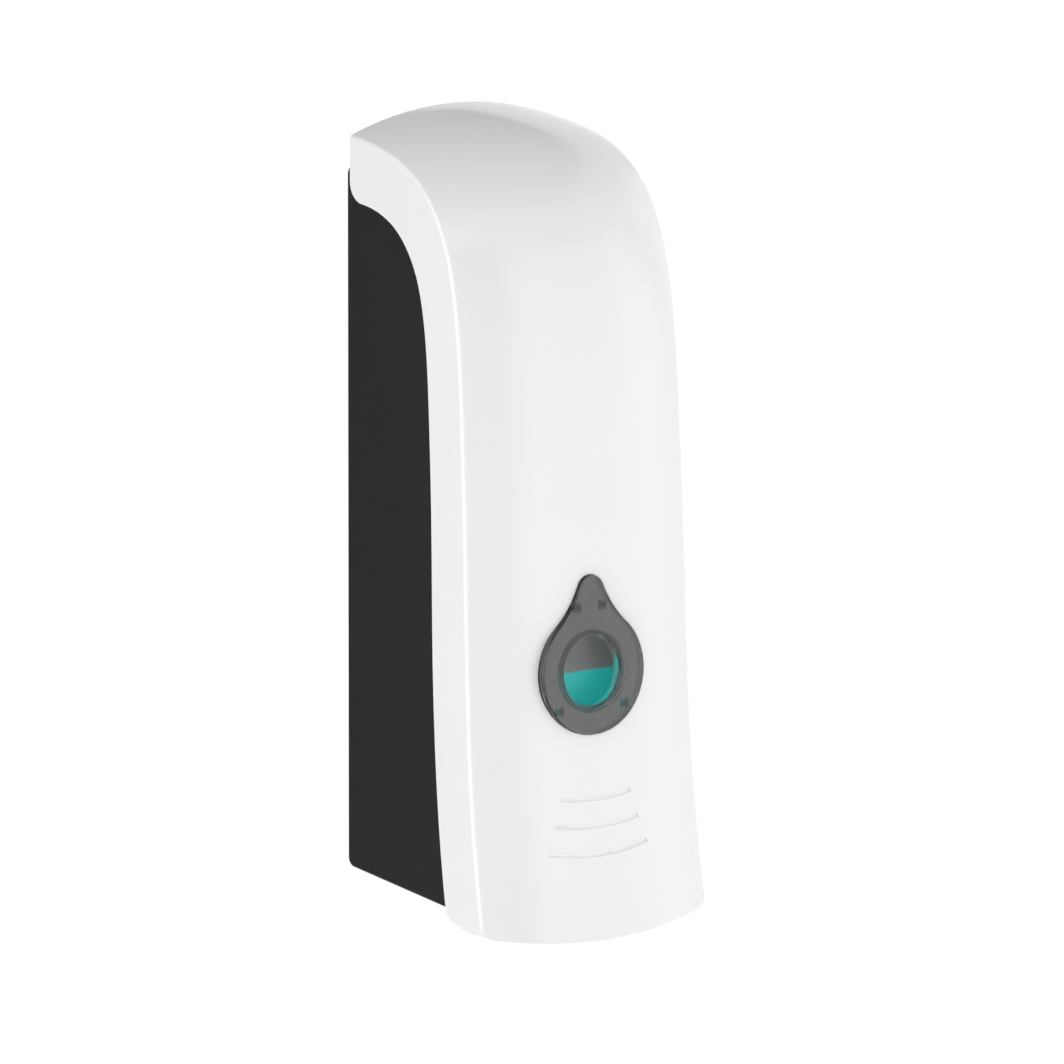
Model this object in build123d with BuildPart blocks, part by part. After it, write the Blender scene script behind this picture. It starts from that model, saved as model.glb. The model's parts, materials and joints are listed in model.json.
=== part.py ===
from build123d import *
import os
from math import hypot, sqrt

# Wall mounted liquid soap dispenser: a black tray screwed to the wall carries a bottle-shaped tank
# and a horizontal piston pump.  A tall white cover, crowned over its front and top, hangs in front.
# It rides on a push frame that swings on two pins behind the top of the tray, and it tips forward
# on two pins at the foot of that frame, so that the tank can be filled.
#
# Frame, in millimetres: the origin is the centre of the four wall screw holes, on the wall plane.
# +X is to the right of a person who faces the dispenser, +Y goes into the wall and +Z is up.

os.makedirs("parts", exist_ok=True)

# ---- driving dimensions -------------------------------------------------------------------------
stations = 14               # sections that the skin is lofted through
skin_overhang = 4.0        # how much wider than the cover the skin is lofted before it is trimmed
leg_depth = 8.0            # legs of that wide section, trimmed off with the overhang
mid_half_width = 43.5      # half of the cover's width at the origin's height
side_taper = 0.01          # how much the half width grows per millimetre downwards
skin_wall = 2.2            # thickness of the cover's front and top
side_wall = 2.0            # thickness of the cover's side walls
corner_radius = 1.2        # rounding between the cover's front and its sides
front_crown = 6.5          # how far the front bulges between its two side edges
top_crown = 7.7            # the same, over the top
cover_back = -6.4          # rear edge of the cover's top

housing_gap = 1.4          # air between the cover's side wall and the tray's side wall
housing_wall = 2.0
housing_back = 2.5         # thickness of the tray's back plate
housing_top = 113.2
housing_bottom = -111.6

push_pivot = (-14.0, 106.0)    # (y, z) of the pins that the push frame swings on
tilt_pivot = (-69.0, -114.0)   # (y, z) of the pins that the cover tips forward on
pin_radius = 2.0
pin_play = 0.05                # running clearance of a pin, on the radius

ring_height = -43.2        # height of the sight glass
drop_radius = 20.0         # round lower part of the drop-shaped window
tip_radius = 5.0           # rounded upper tip of the drop
tip_rise = 25.6            # from the sight glass up to the centre of the tip
flank_radius = 35.0        # hollow flanks between the two
window_proud = 1.5         # how far the window's face stands out of the cover
window_seat = 1.5          # how deep it is let in at its middle
seat_air = 0.06            # air between the window's back and its seat
sight_radius = 11.8
boss_radius = 13.0

tank_half_width = 33.0
tank_back = -5.5
tank_front = -57.0
tank_bottom = -74.0
tank_top = 84.0
tank_wall = 1.5
sight_boss_front = -63.4   # the tank's round sight boss reaches forward to here
sight_boss_radius = 17.0
soap_level = -44.6

pump_height = -95.0        # axis of the horizontal pump
barrel_radius = 8.6
bore_radius = 7.0
inlet_y = -23.0
outlet_y = -29.0
nozzle_y = -46.0
plunger_front = -62.45     # front face of the plunger at rest

arm_outer = 36.3           # outer face of the push frame's arms
arm_inner = 34.0
lug_outer = 33.7           # the cover's hinge lugs stand inside the arms
lug_inner = 30.4

screw_spacing_x = 50.0
screw_spacing_z = 130.0
screw_hole_radius = 2.4

# ---- the cover's side outline -------------------------------------------------------------------
# (y, z) of the edge where the side wall meets the front, from behind the top down past the bottom.
corner_edge_points = [
    (6.0, 121.9),
    (-8.0, 122.4),
    (-25.0, 119.7),
    (-41.5, 111.6),
    (-54.0, 97.6),
    (-60.6, 79.0),
    (-64.9, 42.0),
    (-67.1, -10.0),
    (-68.9, -62.0),
    (-73.3, -105.0),
    (-79.0, -136.0),
]
# (y, z) of the side wall's rear edge, below the ear that covers the push pivot.
rear_edge_points = [
    (-13.4, 101.9),
    (-22.0, 99.9),
    (-30.1, 95.9),
    (-36.3, 90.1),
    (-41.0, 82.7),
    (-45.2, 68.9),
    (-48.0, 40.9),
    (-49.4, 5.0),
    (-50.0, -35.0),
    (-52.0, -75.0),
    (-57.1, -117.0),
]
# (y, z) of the tray's front edge, which stays about 5 mm in front of the cover's rear edge.
housing_front_points = [
    (-20.0, housing_top),
    (-33.5, 101.0),
    (-40.6, 94.0),
    (-46.0, 85.0),
    (-50.8, 70.0),
    (-53.7, 41.5),
    (-55.2, -25.0),
    (-56.5, -63.0),
    (-58.6, -117.6),
]

corner_edge = Spline(*[(0, y, z) for y, z in corner_edge_points])


def half_width(z):
    """Half width of the cover at height z."""
    return mid_half_width - side_taper * z


def crown(z):
    """Bulge of the skin between its side edges, larger over the top than down the front."""
    share = min(max((z - 60.0) / 60.0, 0.0), 1.0)
    return front_crown + (top_crown - front_crown) * share


def edge_parameter(z):
    """Where along the corner edge the height z is reached."""
    low, high = 0.0, 1.0
    for _ in range(40):
        middle = (low + high) / 2
        if (corner_edge @ middle).Z > z:
            low = middle
        else:
            high = middle
    return low


def skin_plane(t):
    """Plane square to the corner edge: local x is X, local y points out of the skin."""
    return Plane(origin=corner_edge @ t, x_dir=(1, 0, 0), z_dir=corner_edge % t)


def skin_point(x, z, lift=0.0):
    """A point of the outer skin near height z, at x across, raised by lift."""
    plane = skin_plane(edge_parameter(z))
    bulge = crown(z) * (1 - (x / half_width(z)) ** 2)
    return plane.from_local_coords((x, bulge + lift, 0))


def skin_section(t):
    """Crowned skin, wider than the cover and with two short legs that are trimmed off later."""
    plane = skin_plane(t)
    half = half_width(plane.origin.Z)
    bulge = crown(plane.origin.Z)
    bow = (half ** 2 + bulge ** 2) / (2 * bulge)
    wide = half + skin_overhang
    near = wide - side_wall
    edge_n = bulge - bow + sqrt(bow ** 2 - wide ** 2)
    near_n = bulge - bow + sqrt(bow ** 2 - near ** 2) - skin_wall
    with BuildSketch(plane) as section:
        with BuildLine():
            Line((-wide, -leg_depth), (-wide, edge_n))
            ThreePointArc((-wide, edge_n), (0, bulge), (wide, edge_n))
            Line((wide, edge_n), (wide, -leg_depth))
            Line((wide, -leg_depth), (near, -leg_depth))
            Line((near, -leg_depth), (near, near_n))
            ThreePointArc((near, near_n), (0, bulge - skin_wall), (-near, near_n))
            Line((-near, near_n), (-near, -leg_depth))
            Line((-near, -leg_depth), (-wide, -leg_depth))
        make_face()
    return section.sketch


def side_band(side):
    """One tapering side wall, from just under the skin to well behind the cover."""
    front = [skin_plane(step / 12).from_local_coords((0, -skin_wall / 2, 0)) for step in range(13)]
    with BuildPart() as band:
        with BuildSketch(Plane.YZ):
            with BuildLine():
                Spline(*[(point.Y, point.Z) for point in front])
                Polyline((front[-1].Y, front[-1].Z), (40, front[-1].Z), (40, front[0].Z), (front[0].Y, front[0].Z))
            make_face()
        extrude(amount=side * 60)
        with BuildSketch(Plane.XZ):
            high, low = half_width(140), half_width(-140)
            Polygon(
                (side * high, 140),
                (side * low, -140),
                (side * (low - side_wall), -140),
                (side * (high - side_wall), 140),
                align=None,
            )
        extrude(amount=100, both=True, mode=Mode.INTERSECT)
    return band.part


# ---- drop-shaped window: outline and the plane it sits on ----------------------------------------
ring_plane = skin_plane(edge_parameter(ring_height))
window_plane = Plane(
    origin=skin_point(0, ring_height),
    x_dir=(1, 0, 0),
    z_dir=ring_plane.y_dir,
)


def drop_outline(grow=0.0):
    """Drop of three tangent arcs: a round bottom, a small round tip and two hollow flanks."""
    far = drop_radius + flank_radius
    near = tip_radius + flank_radius
    flank_y = (far ** 2 - near ** 2 + tip_rise ** 2) / (2 * tip_rise)
    flank_x = sqrt(far ** 2 - flank_y ** 2)
    big = drop_radius + grow
    tip = tip_radius + grow
    hollow = flank_radius - grow
    low_x, low_y = flank_x * big / far, flank_y * big / far
    high_x = flank_x * tip / near
    high_y = tip_rise + (flank_y - tip_rise) * tip / near
    toward_x = (low_x + high_x) / 2 - flank_x
    toward_y = (low_y + high_y) / 2 - flank_y
    reach = hollow / hypot(toward_x, toward_y)
    mid_x, mid_y = flank_x + toward_x * reach, flank_y + toward_y * reach
    with BuildSketch() as drop:
        with BuildLine():
            ThreePointArc((low_x, low_y), (0, -big), (-low_x, low_y))
            ThreePointArc((-low_x, low_y), (-mid_x, mid_y), (-high_x, high_y))
            ThreePointArc((-high_x, high_y), (0, tip_rise + tip), (high_x, high_y))
            ThreePointArc((high_x, high_y), (mid_x, mid_y), (low_x, low_y))
        make_face()
    return drop.sketch


clip_places = [(-5.0, 20.5), (5.0, 20.5), (-12.8, -11.6), (12.8, -11.6)]
clip_width = 3.0
clip_thick = 1.5

# ---- front cover --------------------------------------------------------------------------------
smile_grooves = [(14.0, -82.7, -83.8), (16.5, -91.1, -92.5), (19.3, -99.4, -101.5)]
groove_radius = 0.8
groove_depth = 0.5
keeper_half = 9.0

with BuildPart() as front_cover:
    for station in range(stations + 1):
        add(skin_section(station / stations))
    loft()
    with BuildSketch(Plane.XZ):
        high, low = half_width(140), half_width(-140)
        Polygon((-low, -140), (low, -140), (high, 140), (-high, 140), align=None)
    extrude(amount=100, both=True, mode=Mode.INTERSECT)
    add(side_band(-1))
    add(side_band(1))
    front_corners = front_cover.edges().filter_by(lambda e: e.length > 200).group_by(Axis.Y)[0]
    fillet(front_corners, corner_radius)
    # the rear edge of both side walls, seen from the side
    with BuildSketch(Plane.YZ):
        with BuildLine():
            Line((40, 150), (cover_back, 150))
            Line((cover_back, 150), (cover_back, 108.9))
            ThreePointArc((cover_back, 108.9), (-8.5, 103.9), rear_edge_points[0])
            Spline(*rear_edge_points)
            Polyline(rear_edge_points[-1], (-60.5, -120.2), (-67, -122.2), (-67, -150), (40, -150), (40, 150))
        make_face()
    extrude(amount=60, both=True, mode=Mode.SUBTRACT)
    # the bottom edge, seen from the front: a shallow bow between two round corners
    with BuildSketch(Plane.XZ):
        with BuildLine():
            Line((-60, -118.2), (-44.7, -118.2))
            ThreePointArc((-44.7, -118.2), (-43.5, -121.7), (-40.4, -123.4))
            ThreePointArc((-40.4, -123.4), (0, -127.2), (40.4, -123.4))
            ThreePointArc((40.4, -123.4), (43.5, -121.7), (44.7, -118.2))
            Polyline((44.7, -118.2), (60, -118.2), (60, -170), (-60, -170), (-60, -118.2))
        make_face()
    extrude(amount=120, mode=Mode.SUBTRACT)
    # pad behind the window, its seat, the hole for the sight boss and the clip slots
    with BuildSketch(window_plane.offset(-window_seat - skin_wall)):
        add(drop_outline(2.5))
    extrude(amount=skin_wall - 0.4)
    with BuildSketch(window_plane.offset(-window_seat - seat_air)):
        add(drop_outline(0.15))
    extrude(amount=10, mode=Mode.SUBTRACT)
    with BuildSketch(window_plane.offset(-10)):
        Circle(boss_radius + 0.2)
        with Locations(*clip_places):
            Rectangle(clip_width + 0.4, clip_thick + 1.6)
    extrude(amount=12, mode=Mode.SUBTRACT)
    # three smiling grooves that mark where to push
    for half_length, end_z, middle_z in smile_grooves:
        rise = groove_radius - groove_depth
        ends = [skin_point(side * half_length, end_z, rise) for side in (-1, 1)]
        with BuildLine() as groove_path:
            ThreePointArc(ends[0], skin_point(0, middle_z, rise), ends[1])
        with BuildSketch(Plane(origin=ends[0], z_dir=groove_path.line % 0)):
            Circle(groove_radius)
        sweep(path=groove_path.line, mode=Mode.SUBTRACT)
    # hinge lugs low inside the front, and the keeper rib under the top
    for side in (-1, 1):
        with BuildSketch(Plane.YZ.offset(side * (lug_inner + lug_outer) / 2)):
            Polygon((-75.0, -104), (-77.2, -119), (-69, -118.4), (-66, -114), (-69, -109.6), align=None)
            with Locations(tilt_pivot):
                Circle(4.4)
        extrude(amount=(lug_outer - lug_inner) / 2, both=True)
        with BuildSketch(Plane.YZ.offset(side * (lug_inner + lug_outer) / 2)):
            with Locations(tilt_pivot):
                Circle(pin_radius + pin_play)
        extrude(amount=4, both=True, mode=Mode.SUBTRACT)
    with BuildSketch(Plane.YZ):
        Polygon((-17.5, 119.2), (-15.5, 119.2), (-15.5, 127.9), (-17.5, 127.9), align=None)
    extrude(amount=keeper_half, both=True)
front_cover.part.label = "front_cover"
export_step(front_cover.part, "parts/front_cover.step")

# ---- drop window, sight lens and the ring that holds them ----------------------------------------
ledge_radius = 10.9
boss_back = -5.4
lens_back = -0.9

with BuildPart() as drop_window:
    with BuildSketch(window_plane.offset(-window_seat)):
        add(drop_outline())
    extrude(amount=window_seat + window_proud)
    face_edges = drop_window.edges().group_by(Axis((0, 0, 0), window_plane.z_dir))[-1]
    fillet(face_edges, 0.6)
    with BuildSketch(window_plane.offset(boss_back)):
        Circle(boss_radius)
    extrude(amount=-boss_back)
    with BuildSketch(window_plane.offset(boss_back - 1)):
        Circle(ledge_radius)
    extrude(amount=20, mode=Mode.SUBTRACT)
    with BuildSketch(window_plane.offset(lens_back)):
        Circle(sight_radius)
    extrude(amount=20, mode=Mode.SUBTRACT)
    with BuildSketch(window_plane.offset(window_proud - 0.35)):
        Circle(boss_radius)
    extrude(amount=2, mode=Mode.SUBTRACT)
    # four snap legs with hooked feet behind the seat
    with BuildSketch(window_plane.offset(-window_seat - skin_wall - 1.9)):
        with Locations(*clip_places):
            Rectangle(clip_width, clip_thick)
    extrude(amount=skin_wall + 2.0)
    with BuildSketch(window_plane.offset(-window_seat - skin_wall - 1.9)):
        for place_x, place_y in clip_places:
            with Locations((place_x, place_y + (1.0 if place_y > 0 else -1.0))):
                Rectangle(clip_width, clip_thick)
    extrude(amount=1.2)
drop_window.part.label = "drop_window"
export_step(drop_window.part, "parts/drop_window.step")

with BuildPart() as sight_lens:
    with BuildSketch(window_plane.offset(lens_back)):
        Circle(sight_radius - 0.05)
    extrude(amount=window_proud - lens_back - 0.5)
    fillet(sight_lens.edges().group_by(Axis((0, 0, 0), window_plane.z_dir))[-1], 0.5)
    # the solid rod behind the lens, which carries the sight of the tank through the window's boss
    with BuildSketch(window_plane.offset(boss_back)):
        Circle(ledge_radius - 0.05)
    extrude(amount=lens_back - boss_back + 0.1)
sight_lens.part.label = "sight_lens"
export_step(sight_lens.part, "parts/sight_lens.step")

with BuildPart() as window_retainer:
    with BuildSketch(window_plane.offset(-window_seat - skin_wall - 1.2)):
        Circle(boss_radius + 1.9)
        Circle(boss_radius, mode=Mode.SUBTRACT)
    extrude(amount=1.2)
window_retainer.part.label = "window_retainer"
export_step(window_retainer.part, "parts/window_retainer.step")

# ---- rear tray ----------------------------------------------------------------------------------
boss_front = -8.0
bracket_screw_places = [(-19.0, -86.0), (19.0, -86.0), (-19.0, -105.0), (19.0, -105.0)]
screw_shank = 1.5


def tray_block(back, top, bottom_rise, front_shift, width_inset, round_back):
    """Side outline of the tray swept across its width and trimmed to its tapering sides."""
    front = [(y - front_shift, z) for y, z in housing_front_points]
    front[0] = (front[0][0], top)
    front[-1] = (front[-1][0], front[-1][1] + bottom_rise)
    with BuildPart() as block:
        with BuildSketch(Plane.YZ):
            with BuildLine():
                Line((back, housing_bottom + bottom_rise), (back, top))
                Line((back, top), front[0])
                Spline(*front)
                Line(front[-1], (back, housing_bottom + bottom_rise))
            make_face()
        extrude(amount=60, both=True)
        rear_edges = block.edges().filter_by(Axis.X).group_by(Axis.Y)[-1]
        fillet(rear_edges, round_back)
        with BuildSketch(Plane.XZ):
            top_half = half_width(140) - width_inset
            foot_half = half_width(-140) - width_inset
            Polygon((-foot_half, -140), (foot_half, -140), (top_half, 140), (-top_half, 140), align=None)
        extrude(amount=90, both=True, mode=Mode.INTERSECT)
    return block.part


outside_inset = side_wall + housing_gap
tray_outside = tray_block(0, housing_top, 0, 0, outside_inset, 3.0)
tray_inside = tray_block(-housing_back, housing_top - housing_wall, housing_wall, 30, outside_inset + housing_wall, 1.0)

with BuildPart() as rear_housing:
    add(tray_outside)
    outer_sides = rear_housing.faces().filter_by(lambda f: abs(f.normal_at().X) > 0.9)
    rim = outer_sides.edges().filter_by(lambda e: e.center().Y > -6 or e.center().Z < -112)
    fillet(rim, 0.9)
    add(tray_inside, mode=Mode.SUBTRACT)
    # bosses for the push pivot pins
    for side in (-1, 1):
        with BuildSketch(Plane.YZ.offset(side * (arm_outer + 0.3))):
            with Locations(push_pivot):
                Circle(5.5)
        extrude(amount=side * 2.4)
        with BuildSketch(Plane.YZ.offset(side * (arm_outer - 1))):
            with Locations(push_pivot):
                Circle(pin_radius)
        extrude(amount=side * 3.7, mode=Mode.SUBTRACT)
    # ribs that centre the tank and the two ledges it stands on
    for side in (-1, 1):
        for rib_z in (45.0, -35.0):
            with BuildSketch(Plane.XY.offset(rib_z)):
                with Locations((side * 36.35, -10.2)):
                    Rectangle(6.0, 15.6)
            extrude(amount=2.0)
        with BuildSketch(Plane.XY.offset(tank_bottom - 2.2)):
            with Locations((side * 25.0, -16.0)):
                Rectangle(12.0, 27.2)
        extrude(amount=2.0)
    # bosses for the pump bracket
    with BuildSketch(Plane.XZ.offset(housing_back - 0.2)):
        with Locations(*bracket_screw_places):
            Circle(3.6)
    extrude(amount=-boss_front - housing_back + 0.2)
    with BuildSketch(Plane.XZ.offset(1.2)):
        with Locations(*bracket_screw_places):
            Circle(screw_shank)
    extrude(amount=10, mode=Mode.SUBTRACT)
    # wall screw holes
    with BuildSketch(Plane.XZ.offset(-1)):
        with GridLocations(screw_spacing_x, screw_spacing_z, 2, 2):
            Circle(screw_hole_radius)
    extrude(amount=housing_back + 2, mode=Mode.SUBTRACT)
    # notch in the top wall for the latch, notches in the floor for the hinge lugs and the nozzle
    with BuildSketch(Plane.XY.offset(housing_top - 4)):
        with Locations((0, -14.5)):
            Rectangle(30, 23)
    extrude(amount=8, mode=Mode.SUBTRACT)
    with BuildSketch(Plane.XY.offset(-125)):
        with Locations((-34.0, -56.0), (34.0, -56.0)):
            Rectangle(10.0, 24.0)
        with Locations((0, -43.0)):
            Rectangle(18.0, 40.0)
    extrude(amount=18, mode=Mode.SUBTRACT)
rear_housing.part.label = "rear_housing"
export_step(rear_housing.part, "parts/rear_housing.step")

with BuildPart() as pivot_pins:
    for side in (-1, 1):
        with BuildSketch(Plane.YZ.offset(side * (arm_inner - 0.4))):
            with Locations(push_pivot):
                Circle(pin_radius)
        extrude(amount=side * (arm_outer - arm_inner + 3.0))
pivot_pins.part.label = "pivot_pins"
export_step(pivot_pins.part, "parts/pivot_pins.step")

# ---- push frame ---------------------------------------------------------------------------------
arm_width = 9.0
bar_front, bar_rear = -69.5, -66.5
bar_low, bar_high = -102.0, -88.0
yoke_front, yoke_rear = -12.0, -5.2
yoke_low, yoke_high = 98.0, 104.0
latch_y = -8.6
latch_stem = 2.2
nose_radius = 4.0
arm_route = [
    push_pivot,
    (-36.0, 90.0),
    (-49.0, 62.0),
    (-55.5, 10.0),
    (-58.5, -50.0),
    (-63.5, -92.0),
    tilt_pivot,
]

with BuildPart() as push_frame:
    for side in (-1, 1):
        with BuildSketch(Plane.YZ.offset(side * arm_inner)):
            with BuildLine():
                FilletPolyline(*arm_route, radius=14)
            trace(line_width=arm_width)
            with Locations(push_pivot, tilt_pivot):
                Circle(4.5)
        extrude(amount=side * (arm_outer - arm_inner))
    # push bar at the foot, yoke behind the top
    with BuildSketch(Plane.YZ.offset(-arm_inner - 0.5)):
        Polygon((bar_front, bar_low), (bar_rear, bar_low), (bar_rear, bar_high), (bar_front, bar_high), align=None)
    extrude(amount=2 * arm_inner + 1)
    with BuildSketch(Plane.YZ.offset(-arm_inner - 0.5)):
        Polygon(
            (yoke_front, yoke_low),
            (yoke_rear, yoke_low),
            (yoke_rear, yoke_high),
            (yoke_front, yoke_high),
            align=None,
        )
    extrude(amount=2 * arm_inner + 1)
    for side in (-1, 1):
        with BuildSketch(Plane.YZ.offset(side * (arm_inner - 3))):
            with Locations(push_pivot):
                Circle(pin_radius + pin_play)
        extrude(amount=side * 8, mode=Mode.SUBTRACT)
        with BuildSketch(Plane.YZ.offset(side * (arm_inner - 3))):
            with Locations(tilt_pivot):
                Circle(pin_radius)
        extrude(amount=side * 8, mode=Mode.SUBTRACT)
    with BuildSketch(Plane.XY.offset(yoke_low - 1)):
        with Locations((0, latch_y)):
            Circle(latch_stem + 0.1)
    extrude(amount=10, mode=Mode.SUBTRACT)
    with BuildSketch(Plane.XZ.offset(-bar_rear - 1)):
        with Locations((-6, pump_height), (6, pump_height)):
            Circle(1.5)
    extrude(amount=8, mode=Mode.SUBTRACT)
push_frame.part.label = "push_frame"
export_step(push_frame.part, "parts/push_frame.step")

with BuildPart() as push_pad:
    with BuildSketch(Plane.YZ):
        with Locations((bar_rear, pump_height)):
            Circle(nose_radius)
        with Locations((bar_rear - 5, pump_height)):
            Rectangle(10, 12, mode=Mode.SUBTRACT)
    extrude(amount=10, both=True)
    with BuildSketch(Plane.XZ.offset(-bar_rear - 0.5)):
        with Locations((-6, pump_height), (6, pump_height)):
            Circle(1.5)
    extrude(amount=bar_rear - bar_front + 0.8)
push_pad.part.label = "push_pad"
export_step(push_pad.part, "parts/push_pad.step")

with BuildPart() as tilt_pins:
    for side in (-1, 1):
        with BuildSketch(Plane.YZ.offset(side * (lug_inner - 0.4))):
            with Locations(tilt_pivot):
                Circle(pin_radius)
        extrude(amount=side * (arm_outer - lug_inner + 0.4))
tilt_pins.part.label = "tilt_pins"
export_step(tilt_pins.part, "parts/tilt_pins.step")

# ---- release latch and its spring ---------------------------------------------------------------
latch_shelf = 110.0
with BuildPart() as release_latch:
    with BuildSketch(Plane.XY.offset(yoke_low - 2.6)):
        with Locations((0, latch_y)):
            Circle(latch_stem)
    extrude(amount=latch_shelf - yoke_low + 3.6)
    with BuildSketch(Plane.XY.offset(yoke_low - 2.6)):
        with Locations((0, latch_y)):
            Circle(3.2)
    extrude(amount=2.4)
    with BuildSketch(Plane.YZ):
        Polygon(
            (-5.8, latch_shelf),
            (-5.8, 116.0),
            (-7.8, 116.0),
            (-7.8, latch_shelf + 2),
            (-18.0, latch_shelf + 2),
            (-18.0, 118.2),
            (-18.6, 118.7),
            (-20.0, 116.6),
            (-20.0, latch_shelf),
            align=None,
        )
    extrude(amount=5.0, both=True)
release_latch.part.label = "release_latch"
export_step(release_latch.part, "parts/release_latch.step")

with BuildPart() as latch_spring:
    with BuildLine() as latch_coil:
        Helix(pitch=1.5, height=5.2, radius=3.1, center=(0, latch_y, yoke_high + 0.4))
    with BuildSketch(Plane(origin=latch_coil.line @ 0, z_dir=latch_coil.line % 0)):
        Circle(0.3)
    sweep(path=latch_coil.line)
latch_spring.part.label = "latch_spring"
export_step(latch_spring.part, "parts/latch_spring.step")

# ---- soap tank, soap, lid -----------------------------------------------------------------------
mouth_half, mouth_back, mouth_front = 20.0, -25.0, -44.0
mouth_mid = (mouth_back + mouth_front) / 2
mouth_depth = mouth_back - mouth_front
rim_high = 87.0
lid_pivot = (-19.6, 88.5)
lid_pin_radius = 1.0
spout_radius = 4.5
spout_bore = 3.0
spout_foot = -79.8


def tank_block(grow):
    """The tank's body, grown by a wall thickness or shrunk by it."""
    width = 2 * (tank_half_width + grow)
    depth = tank_back - tank_front + 2 * grow
    with BuildPart() as block:
        with BuildSketch(Plane.XY.offset(tank_bottom - grow)):
            with Locations((0, (tank_back + tank_front) / 2)):
                RectangleRounded(width, depth, 7 + grow)
        extrude(amount=tank_top - tank_bottom + 2 * grow)
        flat_edges = block.faces().filter_by(Axis.Z).edges()
        fillet(flat_edges, 3.5 + grow)
        with BuildSketch(Plane.XZ.offset(-tank_front - 4)):
            with Locations((0, soap_level - 0.4)):
                Circle(sight_boss_radius + grow)
        extrude(amount=tank_front - sight_boss_front + 4 + grow)
    return block.part


tank_outside = tank_block(0)
tank_inside = tank_block(-tank_wall)

with BuildPart() as soap_tank:
    add(tank_outside)
    with BuildSketch(Plane.XY.offset(tank_top - 3)):
        with Locations((0, mouth_mid)):
            Rectangle(2 * mouth_half + 3, mouth_depth + 3)
    extrude(amount=rim_high - tank_top + 3)
    with BuildSketch(Plane.XY.offset(spout_foot)):
        with Locations((0, inlet_y)):
            Circle(spout_radius)
    extrude(amount=tank_bottom - spout_foot + 3)
    for side in (-1, 1):
        with BuildSketch(Plane.YZ.offset(side * 12)):
            with Locations((lid_pivot[0], 85)):
                Rectangle(4.4, 7)
            with Locations(lid_pivot):
                Circle(2.2)
                Circle(lid_pin_radius, mode=Mode.SUBTRACT)
        extrude(amount=side * 3)
    add(tank_inside, mode=Mode.SUBTRACT)
    with BuildSketch(Plane.XY.offset(tank_top - 5)):
        with Locations((0, mouth_mid)):
            Rectangle(2 * mouth_half, mouth_depth)
    extrude(amount=12, mode=Mode.SUBTRACT)
    with BuildSketch(Plane.XY.offset(spout_foot - 1)):
        with Locations((0, inlet_y)):
            Circle(spout_bore)
    extrude(amount=tank_bottom - spout_foot + 3, mode=Mode.SUBTRACT)
soap_tank.part.label = "soap_tank"
export_step(soap_tank.part, "parts/soap_tank.step")

with BuildPart() as soap_fill:
    add(tank_inside)
    with BuildSketch(Plane.XY.offset(soap_level)):
        Rectangle(200, 200)
    extrude(amount=200, mode=Mode.SUBTRACT)
    with BuildSketch(Plane.XY.offset(spout_foot)):
        with Locations((0, inlet_y)):
            Circle(spout_bore)
    extrude(amount=tank_bottom - spout_foot + 3)
soap_fill.part.label = "soap_fill"
export_step(soap_fill.part, "parts/soap_fill.step")

with BuildPart() as lid_pin:
    with BuildSketch(Plane.YZ.offset(-15.5)):
        with Locations(lid_pivot):
            Circle(lid_pin_radius)
    extrude(amount=31)
lid_pin.part.label = "lid_pin"
export_step(lid_pin.part, "parts/lid_pin.step")

lid_low = rim_high + 0.5
with BuildPart() as tank_lid:
    with BuildSketch(Plane.XY.offset(lid_low)):
        with Locations((0, -35.0)):
            RectangleRounded(48, 26, 3)
    extrude(amount=2)
    with BuildSketch(Plane.XY.offset(lid_low + 1.9)):
        with Locations((0, -45.5)):
            RectangleRounded(14, 3, 1)
    extrude(amount=1.6)
    with BuildSketch(Plane.YZ):
        with Locations(lid_pivot):
            Circle(2.0)
        Polygon((-19.6, lid_low), (-19.6, lid_low + 2), (-23, lid_low + 2), (-23, lid_low), align=None)
    extrude(amount=11.6, both=True)
    with BuildSketch(Plane.YZ):
        with Locations(lid_pivot):
            Circle(lid_pin_radius + pin_play)
    extrude(amount=20, both=True, mode=Mode.SUBTRACT)
tank_lid.part.label = "tank_lid"
export_step(tank_lid.part, "parts/tank_lid.step")

with BuildPart() as lid_seal:
    with BuildSketch(Plane.XY.offset(rim_high)):
        with Locations((0, mouth_mid)):
            Rectangle(2 * mouth_half + 3, mouth_depth + 3)
            Rectangle(2 * mouth_half, mouth_depth, mode=Mode.SUBTRACT)
    extrude(amount=lid_low - rim_high)
lid_seal.part.label = "lid_seal"
export_step(lid_seal.part, "parts/lid_seal.step")

# ---- pump bracket and its screws ----------------------------------------------------------------
bracket_plate = 2.5
cheek_half = 15.5
bracket_front = -36.0
with BuildPart() as pump_bracket:
    with BuildSketch(Plane.XZ.offset(-boss_front)):
        with Locations((0, pump_height)):
            RectangleRounded(48, 28, 3)
        with Locations(*bracket_screw_places):
            Circle(screw_shank + 0.2, mode=Mode.SUBTRACT)
    extrude(amount=bracket_plate)
    with BuildSketch(Plane.XZ.offset(-boss_front)):
        with Locations((-cheek_half + 1.2, pump_height), (cheek_half - 1.2, pump_height)):
            Rectangle(2.4, 20)
    extrude(amount=boss_front - bracket_front)
    with BuildSketch(Plane.XZ.offset(-bracket_front - 3)):
        with Locations((0, pump_height - 1)):
            Rectangle(2 * cheek_half, 22)
        with Locations((0, pump_height)):
            Circle(barrel_radius + 0.1, mode=Mode.SUBTRACT)
        with Locations((0, pump_height + 10)):
            Rectangle(2 * barrel_radius + 0.2, 20, mode=Mode.SUBTRACT)
    extrude(amount=3)
pump_bracket.part.label = "pump_bracket"
export_step(pump_bracket.part, "parts/pump_bracket.step")

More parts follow.
